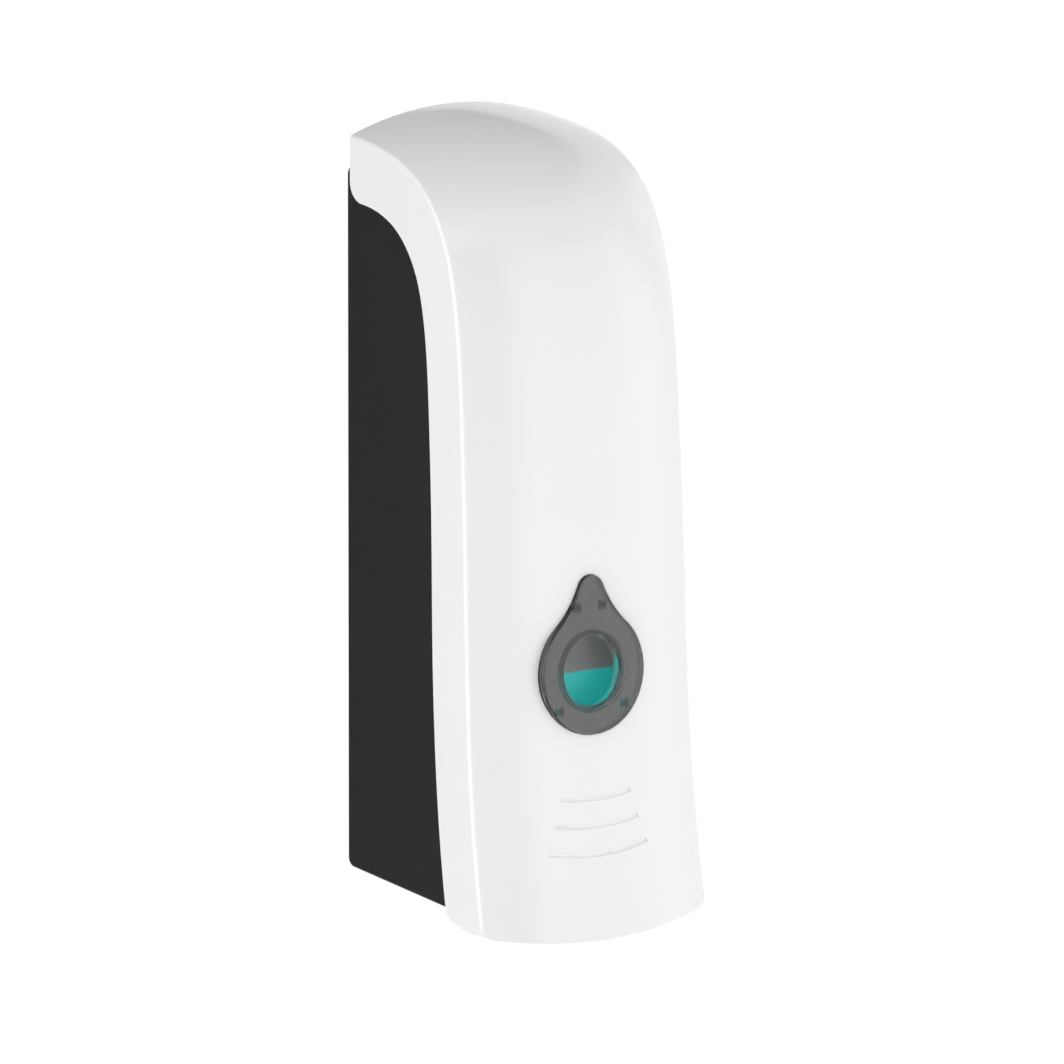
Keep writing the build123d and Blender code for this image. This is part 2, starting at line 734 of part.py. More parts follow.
with BuildPart() as bracket_screws:
    with BuildSketch(Plane.XZ.offset(3.6)):
        with Locations(*bracket_screw_places):
            Circle(screw_shank)
    extrude(amount=-boss_front + bracket_plate - 3.6)
    with BuildSketch(Plane.XZ.offset(-boss_front + bracket_plate)):
        with Locations(*bracket_screw_places):
            Circle(3.0)
    extrude(amount=1.9)
    fillet(bracket_screws.faces().sort_by(Axis.Y)[:4].edges(), 0.9)
    with BuildSketch(Plane.XZ.offset(-boss_front + bracket_plate + 0.9)):
        with Locations(*bracket_screw_places):
            Rectangle(2.8, 0.7)
            Rectangle(0.7, 2.8)
    extrude(amount=2, mode=Mode.SUBTRACT)
bracket_screws.part.label = "bracket_screws"
export_step(bracket_screws.part, "parts/bracket_screws.step")

# ---- pump: barrel, clip, valves -----------------------------------------------------------------
barrel_rear, barrel_mouth = -18.0, -48.5
chamber_rear = -21.0
collar_front = -39.0
collar_radius = 11.2
turret_radius = 8.0
turret_top = -76.2
ball_radius = 2.2
ball_floor = -87.0
seat_low, seat_high = -81.6, -80.2

with BuildPart() as pump_barrel:
    with BuildSketch(Plane.XZ.offset(-barrel_rear)):
        with Locations((0, pump_height)):
            Circle(barrel_radius)
    extrude(amount=barrel_rear - barrel_mouth)
    with BuildSketch(Plane.XZ.offset(-bracket_front)):
        with Locations((0, pump_height)):
            Circle(collar_radius)
    extrude(amount=bracket_front - collar_front)
    with BuildSketch(Plane.XY.offset(pump_height)):
        with Locations((0, inlet_y)):
            Circle(turret_radius)
    extrude(amount=turret_top - pump_height)
    with BuildSketch(Plane.XY.offset(pump_height - 12)):
        with Locations((0, outlet_y)):
            Circle(2.8)
    extrude(amount=6)
    # bore, ball chamber, valve seat, grommet seat, inlet slot and outlet port
    with BuildSketch(Plane.XZ.offset(-chamber_rear)):
        with Locations((0, pump_height)):
            Circle(bore_radius)
    extrude(amount=40, mode=Mode.SUBTRACT)
    for low, high, radius in [
        (ball_floor, seat_low + 0.1, ball_radius + 0.5),
        (seat_low, seat_high + 0.1, 4.6),
        (seat_high, turret_top + 1, 6.4),
    ]:
        with BuildSketch(Plane.XY.offset(low)):
            with Locations((0, inlet_y)):
                Circle(radius)
        extrude(amount=high - low, mode=Mode.SUBTRACT)
    with BuildSketch(Plane.XY.offset(ball_floor - 4)):
        with Locations((0, inlet_y - 0.4)):
            Rectangle(5.2, 1.8)
    extrude(amount=4.5, mode=Mode.SUBTRACT)
    with BuildSketch(Plane.XY.offset(pump_height - 14)):
        with Locations((0, outlet_y)):
            Circle(1.8)
    extrude(amount=9, mode=Mode.SUBTRACT)
    # groove for the retaining clip
    with BuildSketch(Plane.XZ.offset(32.0)):
        with Locations((0, pump_height)):
            Circle(barrel_radius + 2)
            Circle(barrel_radius - 0.7, mode=Mode.SUBTRACT)
        with Locations((0, pump_height + 12)):
            Rectangle(30, 12, mode=Mode.SUBTRACT)
    extrude(amount=1.0, mode=Mode.SUBTRACT)
pump_barrel.part.label = "pump_barrel"
export_step(pump_barrel.part, "parts/pump_barrel.step")

with BuildPart() as retaining_clip:
    with BuildSketch(Plane.XZ.offset(32.05)):
        with Locations((0, pump_height)):
            Circle(barrel_radius + 2)
            Circle(barrel_radius - 0.65, mode=Mode.SUBTRACT)
        with Locations((0, pump_height + 12)):
            Rectangle(30, 12.6, mode=Mode.SUBTRACT)
    extrude(amount=0.9)
retaining_clip.part.label = "retaining_clip"
export_step(retaining_clip.part, "parts/retaining_clip.step")

with BuildPart() as inlet_ball:
    with Locations((0, inlet_y, ball_floor + sqrt(ball_radius ** 2 - 0.9 ** 2) + 0.06)):
        Sphere(ball_radius)
inlet_ball.part.label = "inlet_ball"
export_step(inlet_ball.part, "parts/inlet_ball.step")

with BuildPart() as valve_seat:
    with BuildSketch(Plane.XY.offset(seat_low + 0.1)):
        with Locations((0, inlet_y)):
            Circle(4.6)
            Circle(1.6, mode=Mode.SUBTRACT)
    extrude(amount=seat_high - seat_low)
valve_seat.part.label = "valve_seat"
export_step(valve_seat.part, "parts/valve_seat.step")

with BuildPart() as tank_grommet:
    with BuildSketch(Plane.XY.offset(spout_foot)):
        with Locations((0, inlet_y)):
            Circle(6.4)
            Circle(spout_radius, mode=Mode.SUBTRACT)
    extrude(amount=turret_top - spout_foot)
    with BuildSketch(Plane.XY.offset(turret_top)):
        with Locations((0, inlet_y)):
            Circle(7.6)
            Circle(spout_radius, mode=Mode.SUBTRACT)
    extrude(amount=1.2)
tank_grommet.part.label = "tank_grommet"
export_step(tank_grommet.part, "parts/tank_grommet.step")

# ---- outlet: duct, nozzle collar and duckbill ---------------------------------------------------
duct_start = pump_height - 12
nozzle_low = -120.6
duct_route = [
    (0, outlet_y, duct_start),
    (0, outlet_y, duct_start - 4.2),
    (0, nozzle_y, duct_start - 6.6),
    (0, nozzle_y, nozzle_low),
]
with BuildPart() as outlet_duct:
    with BuildLine() as duct_line:
        FilletPolyline(*duct_route, radius=[2.8, 4.0])
    with BuildSketch(Plane(origin=duct_route[0], z_dir=(0, 0, -1))):
        Circle(3.2)
        Circle(1.8, mode=Mode.SUBTRACT)
    sweep(path=duct_line.line)
outlet_duct.part.label = "outlet_duct"
export_step(outlet_duct.part, "parts/outlet_duct.step")

with BuildPart() as nozzle_collar:
    with BuildSketch(Plane.XY.offset(nozzle_low)):
        with Locations((0, nozzle_y)):
            Circle(4.8)
            Circle(3.2, mode=Mode.SUBTRACT)
    extrude(amount=3.0)
nozzle_collar.part.label = "nozzle_collar"
export_step(nozzle_collar.part, "parts/nozzle_collar.step")

with BuildPart() as duckbill_valve:
    with BuildSketch(Plane.XY.offset(nozzle_low)):
        with Locations((0, nozzle_y)):
            Circle(4.2)
    with BuildSketch(Plane.XY.offset(nozzle_low - 1.0)):
        with Locations((0, nozzle_y)):
            Circle(3.6)
    loft()
    with BuildSketch(Plane.XY.offset(nozzle_low - 1.0)):
        with Locations((0, nozzle_y)):
            Circle(2.6)
    extrude(amount=-2.0, taper=35)
duckbill_valve.part.label = "duckbill_valve"
export_step(duckbill_valve.part, "parts/duckbill_valve.step")

# ---- plunger, its seal and the return spring -----------------------------------------------------
cup_radius = 13.0
cup_inner = 11.7
cup_wall = 2.0
cup_rim = -48.0
piston_front, piston_rear = -42.0, -37.0
with BuildPart() as plunger:
    with BuildSketch(Plane.XZ.offset(-cup_rim)):
        with Locations((0, pump_height)):
            Circle(cup_radius)
    extrude(amount=cup_rim - plunger_front)
    fillet(plunger.edges().sort_by(Axis.Y)[0], 1.0)
    with BuildSketch(Plane.XZ.offset(-cup_rim - 1)):
        with Locations((0, pump_height)):
            Circle(cup_inner)
    extrude(amount=cup_rim - plunger_front - cup_wall + 1, mode=Mode.SUBTRACT)
    with BuildSketch(Plane.XZ.offset(-piston_rear)):
        with Locations((0, pump_height)):
            Circle(3.0)
    extrude(amount=piston_rear - plunger_front - 1)
    with BuildSketch(Plane.XZ.offset(-piston_rear)):
        with Locations((0, pump_height)):
            Circle(bore_radius - 0.1)
    extrude(amount=piston_rear - piston_front)
    with BuildSketch(Plane.XZ.offset(-piston_rear + 1.5)):
        with Locations((0, pump_height)):
            Circle(bore_radius + 1)
            Circle(bore_radius - 1.7, mode=Mode.SUBTRACT)
    extrude(amount=2.0, mode=Mode.SUBTRACT)
plunger.part.label = "plunger"
export_step(plunger.part, "parts/plunger.step")

oring_section = 0.83
with BuildPart() as piston_ring:
    with Locations(Location((0, piston_rear - 2.5, pump_height), (90, 0, 0))):
        Torus(bore_radius - 0.02 - oring_section, oring_section)
piston_ring.part.label = "piston_ring"
export_step(piston_ring.part, "parts/piston_ring.step")

spring_wire = 0.6
spring_rear = collar_front - spring_wire - 0.05
spring_front = plunger_front + cup_wall + spring_wire + 0.05
with BuildPart() as return_spring:
    with BuildLine() as return_coil:
        Helix(
            pitch=(spring_rear - spring_front) / 5,
            height=spring_rear - spring_front,
            radius=10.3,
            center=(0, spring_rear, pump_height),
            direction=(0, -1, 0),
        )
    with BuildSketch(Plane(origin=return_coil.line @ 0, z_dir=return_coil.line % 0)):
        Circle(spring_wire)
    sweep(path=return_coil.line)
return_spring.part.label = "return_spring"
export_step(return_spring.part, "parts/return_spring.step")
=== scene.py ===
# %% [markdown]
# # A wall soap dispenser, from its frame to its finish
# A wall soap dispenser of the push kind is a black tray on the wall, a tank and a pump in it, and a
# tall white cover that is pressed towards the wall. Its frame holds every moulding at its true size.
# This lesson loads that frame, models the small pieces that a moulder, a spring winder or a screw
# maker leaves on such an object, and gives each part the surface that its material really has.

# %% Load the frame
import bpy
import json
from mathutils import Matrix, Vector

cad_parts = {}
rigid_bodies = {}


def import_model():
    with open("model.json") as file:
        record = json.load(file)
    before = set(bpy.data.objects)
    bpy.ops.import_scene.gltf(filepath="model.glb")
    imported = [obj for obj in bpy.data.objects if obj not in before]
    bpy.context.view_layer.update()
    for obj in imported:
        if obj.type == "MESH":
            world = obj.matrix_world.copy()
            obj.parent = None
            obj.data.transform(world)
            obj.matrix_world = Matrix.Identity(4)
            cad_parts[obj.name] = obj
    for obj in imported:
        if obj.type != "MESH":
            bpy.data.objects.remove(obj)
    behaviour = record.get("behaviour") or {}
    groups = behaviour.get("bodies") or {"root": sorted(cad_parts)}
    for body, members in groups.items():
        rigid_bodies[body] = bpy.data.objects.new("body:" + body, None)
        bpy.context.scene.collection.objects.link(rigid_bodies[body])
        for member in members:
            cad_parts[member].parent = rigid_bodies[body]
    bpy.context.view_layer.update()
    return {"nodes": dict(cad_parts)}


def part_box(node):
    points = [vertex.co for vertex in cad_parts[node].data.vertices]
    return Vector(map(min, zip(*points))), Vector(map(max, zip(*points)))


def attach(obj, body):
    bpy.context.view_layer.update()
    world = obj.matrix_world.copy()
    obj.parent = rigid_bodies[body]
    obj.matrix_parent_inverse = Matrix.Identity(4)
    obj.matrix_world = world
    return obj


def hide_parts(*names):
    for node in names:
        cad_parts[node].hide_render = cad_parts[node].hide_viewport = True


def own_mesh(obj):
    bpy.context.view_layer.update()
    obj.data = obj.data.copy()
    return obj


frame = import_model()

# %% Tools of the lesson
import json
import math
import bpy
from mathutils import Matrix, Vector

MM = 0.001
nodes = frame["nodes"]
for thing in bpy.context.scene.objects:
    thing.select_set(False)

# %% [markdown]
# ## Where the viewer stands
# A product portrait is taken with a long lens from a few metres away, so that upright edges stay
# nearly parallel. The viewer stands to the left of the dispenser, a little above its middle. The
# camera could be placed by eye, but a turn, a rise and a distance around an aiming point say the same
# thing in four numbers that can be read and changed.

# %% Camera
VIEW_TURN = math.radians(-37.318)    # how far round to the left the viewer stands
VIEW_RISE = math.radians(8.979)      # how far above the level
VIEW_LEAN = math.radians(-0.322)     # how far the horizon leans
VIEW_DISTANCE = 2.278
AIM = Vector((0.02080, -0.01683, -0.00795))

turned = Matrix.Rotation(VIEW_TURN, 4, "Z") @ Matrix.Rotation(math.pi / 2 - VIEW_RISE, 4, "X")
turned = turned @ Matrix.Rotation(VIEW_LEAN, 4, "Z")
toward_viewer = (turned @ Vector((0, 0, 1, 0))).to_3d()
lens = bpy.data.cameras.new("portrait_lens")
lens.lens = 240.2
lens.sensor_width = 36.0
camera = bpy.data.objects.new("portrait_camera", lens)
camera.matrix_world = Matrix.Translation(AIM + toward_viewer * VIEW_DISTANCE) @ turned
bpy.context.scene.collection.objects.link(camera)
bpy.context.scene.camera = camera
print("camera at", [round(v, 3) for v in camera.matrix_world.translation])

# %% [markdown]
# ## How a finish is written
# A finish is a small chain of nodes: a place on the piece, a pattern of a known size in millimetres,
# and a shader. One function adds a node with its settings and its links, one turns a paint maker's
# colour code into the linear numbers that light needs, and one turns a size into a pattern scale.

# %% Colour, node and pattern tools
def hex_to_linear(code):
    """A colour as #RRGGBB, as the linear numbers that a shader reads."""
    parts = [int(code[i:i + 2], 16) / 255 for i in (1, 3, 5)]
    return [p / 12.92 if p <= 0.04045 else ((p + 0.055) / 1.055) ** 2.4 for p in parts] + [1.0]


def add_node(material, kind, settings=None, **inputs):
    """One node: settings are its own properties, inputs are numbers, colours or other sockets."""
    node = material.node_tree.nodes.new(kind)
    for name, value in (settings or {}).items():
        setattr(node, name, value)
    for name, value in inputs.items():
        socket = node.inputs[int(name[1:])] if name[1:].isdigit() else node.inputs[name.replace("_", " ")]
        if isinstance(value, bpy.types.NodeSocket):
            material.node_tree.links.new(value, socket)
        else:
            socket.default_value = value
    return node


def new_finish(name):
    """An empty finish, its output and the place on the piece that its patterns are laid by."""
    material = bpy.data.materials.new(name)
    material.use_nodes = True
    material.node_tree.nodes.clear()
    output = add_node(material, "ShaderNodeOutputMaterial")
    return material, output.inputs["Surface"], add_node(material, "ShaderNodeTexCoord").outputs["Object"]


def features(size_mm):
    """The pattern scale at which a feature is that many millimetres across."""
    return 1 / (size_mm * MM)


def join(material, shader, socket):
    """Links a shader's first output to a socket."""
    material.node_tree.links.new(shader.outputs[0], socket)


def dress(material, *names):
    """Puts a finish on CAD nodes."""
    for name in names:
        for slot in nodes[name].material_slots:
            slot.material = material
    print(material.name, "on", ", ".join(names))


print("a 2 mm feature has scale", features(2))

# %% [markdown]
# ## The studio
# The dispenser hangs in a white sweep of paper between large soft boxes. A floor that curves up
# behind would do, but a flat floor under plain white air gives the same white with less. A grey
# ceiling sheet keeps the light off the top, so that the crown of the cover turns darker than its
# front, and a dark sheet behind on the left leaves the black tray black. A dark flag straight in
# front is mirrored in the left of the cover, which draws its soft upright band. The standard view
# transform is chosen because whites have to stay white and not be rolled off.

# %% Floor, sheets and plain white air
def matt_card(name, code):
    """The plain matt finish of one of the studio's own sheets."""
    card, surface, _ = new_finish(name)
    join(card, add_node(card, "ShaderNodeBsdfDiffuse", Color=hex_to_linear(code)), surface)
    return card


def studio_sheet(name, finish, width, height, place, aim=None):
    """A flat sheet that faces a point, or lies level."""
    bpy.ops.mesh.primitive_plane_add(size=1, location=(0, 0, 0))
    sheet = bpy.context.object
    sheet.name = name
    sheet.data.materials.append(finish)
    turn = Matrix.Identity(4)
    if aim is not None:
        turn = (Vector(aim) - Vector(place)).to_track_quat("Z", "Y").to_matrix().to_4x4()
    sheet.data.transform(Matrix.Translation(place) @ turn @ Matrix.Diagonal((width, height, 1, 1)))
    sheet.select_set(False)
    return sheet


FLOOR_HEIGHT = -0.75
studio_white = matt_card("studio_paper", "#FEFEFE")
studio_grey = matt_card("studio_card", "#9A9A9A")
studio_black = matt_card("studio_flag", "#101010")
studio_sheet("studio_floor", studio_white, 14.0, 14.0, (0, 0, FLOOR_HEIGHT))
ceiling = studio_sheet("ceiling_sheet", studio_grey, 1.5, 1.5, (0.0, 0.1, 0.75), (0, 0, 0))
shade = studio_sheet("shade_sheet", studio_black, 1.1, 1.3, (-0.60, 0.70, 0.0), (0, 0, 0))
flag = studio_sheet("front_flag", studio_black, 0.5, 1.6, (0.0, -1.0, -0.1), (0, 0, -0.1))
for sheet in (ceiling, shade, flag):
    sheet.visible_camera = False
world = bpy.data.worlds.new("studio_air")
world.use_nodes = True
world.node_tree.nodes["Background"].inputs["Color"].default_value = hex_to_linear("#FFFFFF")
world.node_tree.nodes["Background"].inputs["Strength"].default_value = 1.03
bpy.context.scene.world = world
bpy.context.scene.view_settings.view_transform = "Standard"

# %% [markdown]
# ## The soft boxes
# Six soft boxes stand round the dispenser: a strong one on the left for the tray and the side band,
# two in front, a narrow strip and a wide box on the right for the edge that turns away, and one low
# down that keeps the foot of the cover as bright as its middle. Size matters more than power on
# glossy plastic, because each box is also seen as a reflection.

# %% Soft boxes
def soft_box(name, power, width, height, place, aim=(0, -0.05, 0)):
    """A rectangular soft box that faces a point."""
    light = bpy.data.lights.new(name, "AREA")
    light.shape = "RECTANGLE"
    light.size = width
    light.size_y = height
    light.energy = power
    box = bpy.data.objects.new(name, light)
    box.location = place
    box.rotation_euler = (Vector(aim) - Vector(place)).to_track_quat("-Z", "Y").to_euler()
    bpy.context.scene.collection.objects.link(box)
    box.visible_camera = False
    return box


def seen_from_front(turn, distance, height):
    """A place at that turn to the right of straight in front of the cover."""
    return (distance * math.sin(math.radians(turn)), -distance * math.cos(math.radians(turn)), height)


soft_box("left_soft_box", 9.08, 1.2, 1.4, seen_from_front(-88, 1.4, 0.25))
soft_box("over_soft_box", 1.38, 0.9, 0.7, seen_from_front(-20, 1.4, 0.75))
soft_box("front_soft_box", 1.44, 0.9, 1.3, seen_from_front(37, 1.3, -0.1))
soft_box("strip_soft_box", 0.5, 0.22, 1.5, seen_from_front(57, 1.2, -0.1))
soft_box("right_soft_box", 2.0, 0.8, 1.4, seen_from_front(88, 1.3, 0.1))
soft_box("low_soft_box", 6.39, 1.2, 0.5, seen_from_front(15, 1.3, -0.65))

# %% [markdown]
# ## Polished white ABS
# The cover is ABS, moulded against polished steel, so it comes out of the tool glossy with no
# lacquer. Seen close, such a skin has a very faint orange peel about two millimetres wide and slow
# clouds of gloss where the melt cooled at different speeds. A plain white shader would look like
# paper. Here a slow noise drives tint and roughness a little, and a fine one lifts the skin by a
# few thousandths of a millimetre, which is what bends the edges of a reflection.

# %% Polished white ABS
white_abs, white_surface, place = new_finish("polished_white_abs")
clouds = add_node(white_abs, "ShaderNodeTexNoise", Vector=place, Scale=features(38), Detail=2.0,
                  Roughness=0.4)
tint = add_node(white_abs, "ShaderNodeMix", {"data_type": "RGBA"}, _0=clouds.outputs[0],
                _6=hex_to_linear("#ECEEED"), _7=hex_to_linear("#EAECEC"))
gloss = add_node(white_abs, "ShaderNodeMapRange", Value=clouds.outputs[0], To_Min=0.10, To_Max=0.15)
peel = add_node(white_abs, "ShaderNodeTexNoise", Vector=place, Scale=features(2.4), Detail=1.0)
skin = add_node(white_abs, "ShaderNodeBump", Height=peel.outputs[0], Distance=0.004 * MM, Strength=0.6)
join(white_abs, add_node(white_abs, "ShaderNodeBsdfPrincipled", Base_Color=tint.outputs[2],
                         Roughness=gloss.outputs[0], IOR=1.53, Normal=skin.outputs[0]), white_surface)
dress(white_abs, "front_cover", "window_retainer")

# %% [markdown]
# ## Spark-textured black ABS
# The tray is black ABS from a tool whose walls were spark eroded to a fine matt texture, so that
# fingers and scratches don't show on it. The eye sees a soft sheen broken up by grains under half a
# millimetre. Noise in two sizes is used for the grain, because one size looks like print.

# %% Spark-textured black ABS
black_abs, black_surface, place = new_finish("spark_textured_black_abs")
grain = add_node(black_abs, "ShaderNodeTexNoise", Vector=place, Scale=features(0.55), Detail=3.0,
                 Roughness=0.6)
patches = add_node(black_abs, "ShaderNodeTexNoise", Vector=place, Scale=features(14), Detail=2.0)
tone = add_node(black_abs, "ShaderNodeMix", {"data_type": "RGBA"}, _0=patches.outputs[0],
                _6=hex_to_linear("#171718"), _7=hex_to_linear("#1B1B1B"))
dull = add_node(black_abs, "ShaderNodeMapRange", Value=grain.outputs[0], To_Min=0.42, To_Max=0.6)
spark = add_node(black_abs, "ShaderNodeBump", Height=grain.outputs[0], Distance=0.03 * MM, Strength=0.8)
join(black_abs, add_node(black_abs, "ShaderNodeBsdfPrincipled", Base_Color=tone.outputs[2],
                         Roughness=dull.outputs[0], IOR=1.53, Normal=spark.outputs[0]), black_surface)
dress(black_abs, "rear_housing", "pump_bracket")

# %% [markdown]
# ## Smoked polycarbonate
# The drop-shaped window is clear polycarbonate with a smoke dye. Dye sits in the bulk, so a thick
# place is darker than a thin one: the rim of the drop looks nearly black, its face dark grey, and
# the clip slots behind it show as darker patches. A grey see-through shader would miss that. A
# glass shader with a Volume Absorption inside gives it from the real wall thickness.

# %% Smoked polycarbonate
smoked_pc, smoke_surface, place = new_finish("smoked_polycarbonate")
haze = add_node(smoked_pc, "ShaderNodeTexNoise", Vector=place, Scale=features(6), Detail=2.0)
polish = add_node(smoked_pc, "ShaderNodeMapRange", Value=haze.outputs[0], To_Min=0.05, To_Max=0.10)
join(smoked_pc, add_node(smoked_pc, "ShaderNodeBsdfPrincipled", Base_Color=hex_to_linear("#FFFFFF"),
                         Roughness=polish.outputs[0], IOR=1.58, Transmission_Weight=1.0), smoke_surface)
smoke_dye = add_node(smoked_pc, "ShaderNodeVolumeAbsorption", Color=hex_to_linear("#000000"), Density=240.0)
smoked_pc.node_tree.links.new(smoke_dye.outputs[0], smoke_surface.node.inputs["Volume"])
dress(smoked_pc, "drop_window")

# %% [markdown]
# ## Clear cast acrylic
# The sight lens with its rod is one piece of clear acrylic, turned and polished. It pipes the sight
# of the tank to the front of the window, so the level shows across its whole face even from the
# side. It is bloomed against glare, so its shader mirrors nothing straight on, which a black
# specular tint gives. Only its gloss has detail: faint turning marks.

# %% Clear cast acrylic
clear_pmma, lens_surface, place = new_finish("polished_clear_acrylic")
turning = add_node(clear_pmma, "ShaderNodeTexNoise", Vector=place, Scale=features(3), Detail=2.0)
shine = add_node(clear_pmma, "ShaderNodeMapRange", Value=turning.outputs[0], To_Min=0.0, To_Max=0.05)
join(clear_pmma, add_node(clear_pmma, "ShaderNodeBsdfPrincipled", Base_Color=hex_to_linear("#FFFFFF"),
                          Roughness=shine.outputs[0], IOR=1.49, Transmission_Weight=1.0,
                          Specular_Tint=hex_to_linear("#000000")), lens_surface)
dress(clear_pmma, "sight_lens")

# %% [markdown]
# ## Smoke-tinted polypropylene, with soap behind it
# The tank is blow moulded from translucent polypropylene with a grey tint. It scatters light in its
# wall, so it is never seen through clearly: where soap stands behind the wall it takes the soap's
# colour, and where the tank is empty it stays grey. A see-through shader in a closed housing would
# only show black. So the wall itself is coloured by height, with the soft edge that a scattering
# wall gives to the level, and a faint painted glow, an emission on a part that is no lamp, stands
# for the light that reaches it through the tank.

# %% Smoke-tinted polypropylene
SOAP_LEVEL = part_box("soap_fill")[1].z
smoke_pp, tank_surface, place = new_finish("smoke_tinted_polypropylene")
height = add_node(smoke_pp, "ShaderNodeSeparateXYZ", Vector=place)
empty = add_node(smoke_pp, "ShaderNodeMapRange", {"interpolation_type": "SMOOTHSTEP"},
                 Value=height.outputs[2], From_Min=SOAP_LEVEL - 0.6 * MM, From_Max=SOAP_LEVEL + 0.9 * MM)
cloud = add_node(smoke_pp, "ShaderNodeTexNoise", Vector=place, Scale=features(9), Detail=2.0)
wet = add_node(smoke_pp, "ShaderNodeMix", {"data_type": "RGBA"}, _0=cloud.outputs[0],
               _6=hex_to_linear("#12C9C0"), _7=hex_to_linear("#10C2BE"))
dry = add_node(smoke_pp, "ShaderNodeMix", {"data_type": "RGBA"}, _0=cloud.outputs[0],
               _6=hex_to_linear("#747775"), _7=hex_to_linear("#6F7271"))
wall = add_node(smoke_pp, "ShaderNodeMix", {"data_type": "RGBA"}, _0=empty.outputs[0],
                _6=wet.outputs[2], _7=dry.outputs[2])
draw = add_node(smoke_pp, "ShaderNodeTexNoise", Vector=place, Scale=features(0.8), Detail=2.0)
ripple = add_node(smoke_pp, "ShaderNodeBump", Height=draw.outputs[0], Distance=0.02 * MM, Strength=0.5)
# Painted light: the emission glow brightens the tank wall and its level marks as if lit, though they are no
# lamp.
join(smoke_pp, add_node(smoke_pp, "ShaderNodeBsdfPrincipled", Base_Color=wall.outputs[2],
                        Emission_Color=wall.outputs[2], Emission_Strength=0.27,
                        Roughness=0.38, IOR=1.49, Normal=ripple.outputs[0]), tank_surface)
dress(smoke_pp, "soap_tank")
print("soap stands at", round(SOAP_LEVEL / MM, 1), "mm")

# %% [markdown]
# ## Liquid soap
# Seen through the open mouth, the soap is a clear teal gel with tiny bubbles. It mirrors like water,
# and its colour is in its depth. A noise of bubble size breaks the colour up.

# %% Liquid soap
soap, soap_surface, place = new_finish("teal_liquid_soap")
bubbles = add_node(soap, "ShaderNodeTexVoronoi", Vector=place, Scale=features(1.6))
pearls = add_node(soap, "ShaderNodeMapRange", Value=bubbles.outputs["Distance"], From_Max=0.25,
                  To_Min=1.0, To_Max=0.0)
teal = add_node(soap, "ShaderNodeMix", {"data_type": "RGBA"}, _0=pearls.outputs[0],
                _6=hex_to_linear("#1FA79E"), _7=hex_to_linear("#6FD3CB"))
join(soap, add_node(soap, "ShaderNodeBsdfPrincipled", Base_Color=teal.outputs[2],
                    Roughness=0.04, IOR=1.37), soap_surface)
dress(soap, "soap_fill")

# %% [markdown]
# ## Acetal, grey and natural
# Moving parts are acetal, a slippery plastic that is moulded to close sizes. It is waxy: a dull
# gloss, and the grey kind has a fine grain.

# %% Grey acetal
grey_pom, grey_surface, place = new_finish("grey_acetal")
flow = add_node(grey_pom, "ShaderNodeTexNoise", Vector=place, Scale=features(7), Detail=3.0)
greys = add_node(grey_pom, "ShaderNodeMix", {"data_type": "RGBA"}, _0=flow.outputs[0],
                 _6=hex_to_linear("#6B6E70"), _7=hex_to_linear("#74777A"))
waxy = add_node(grey_pom, "ShaderNodeMapRange", Value=flow.outputs[0], To_Min=0.32, To_Max=0.46)
fine = add_node(grey_pom, "ShaderNodeTexNoise", Vector=place, Scale=features(0.5), Detail=2.0)
satin = add_node(grey_pom, "ShaderNodeBump", Height=fine.outputs[0], Distance=0.01 * MM, Strength=0.6)
join(grey_pom, add_node(grey_pom, "ShaderNodeBsdfPrincipled", Base_Color=greys.outputs[2],
                        Roughness=waxy.outputs[0], IOR=1.48, Normal=satin.outputs[0]), grey_surface)
dress(grey_pom, "push_frame", "release_latch", "tank_lid")

# %% Natural acetal
white_pom, milk_surface, place = new_finish("natural_acetal")
flow = add_node(white_pom, "ShaderNodeTexNoise", Vector=place, Scale=features(6), Detail=3.0)
milks = add_node(white_pom, "ShaderNodeMix", {"data_type": "RGBA"}, _0=flow.outputs[0],
                 _6=hex_to_linear("#E7E5DD"), _7=hex_to_linear("#DEDCD3"))
waxy = add_node(white_pom, "ShaderNodeMapRange", Value=flow.outputs[0], To_Min=0.30, To_Max=0.42)
join(white_pom, add_node(white_pom, "ShaderNodeBsdfPrincipled", Base_Color=milks.outputs[2],
                         Roughness=waxy.outputs[0], IOR=1.48), milk_surface)
dress(white_pom, "pump_barrel", "valve_seat", "outlet_duct", "nozzle_collar", "plunger")

# %% [markdown]
# ## Rubber and silicone
# The seals and the push pad are moulded nitrile rubber, matt and slightly bloomed. The duckbill is
# silicone, paler and smoother, and dust likes it.

# %% Nitrile rubber
rubber, rubber_surface, place = new_finish("moulded_nitrile_rubber")
bloom = add_node(rubber, "ShaderNodeTexNoise", Vector=place, Scale=features(3), Detail=4.0)
soot = add_node(rubber, "ShaderNodeMix", {"data_type": "RGBA"}, _0=bloom.outputs[0],
                _6=hex_to_linear("#161617"), _7=hex_to_linear("#2A2A2A"))
matt = add_node(rubber, "ShaderNodeMapRange", Value=bloom.outputs[0], To_Min=0.6, To_Max=0.85)
pores = add_node(rubber, "ShaderNodeTexNoise", Vector=place, Scale=features(0.35), Detail=2.0)
dry_skin = add_node(rubber, "ShaderNodeBump", Height=pores.outputs[0], Distance=0.02 * MM, Strength=0.7)
join(rubber, add_node(rubber, "ShaderNodeBsdfPrincipled", Base_Color=soot.outputs[2],
                      Roughness=matt.outputs[0], IOR=1.52, Normal=dry_skin.outputs[0]), rubber_surface)
dress(rubber, "push_pad", "lid_seal", "tank_grommet", "piston_ring")

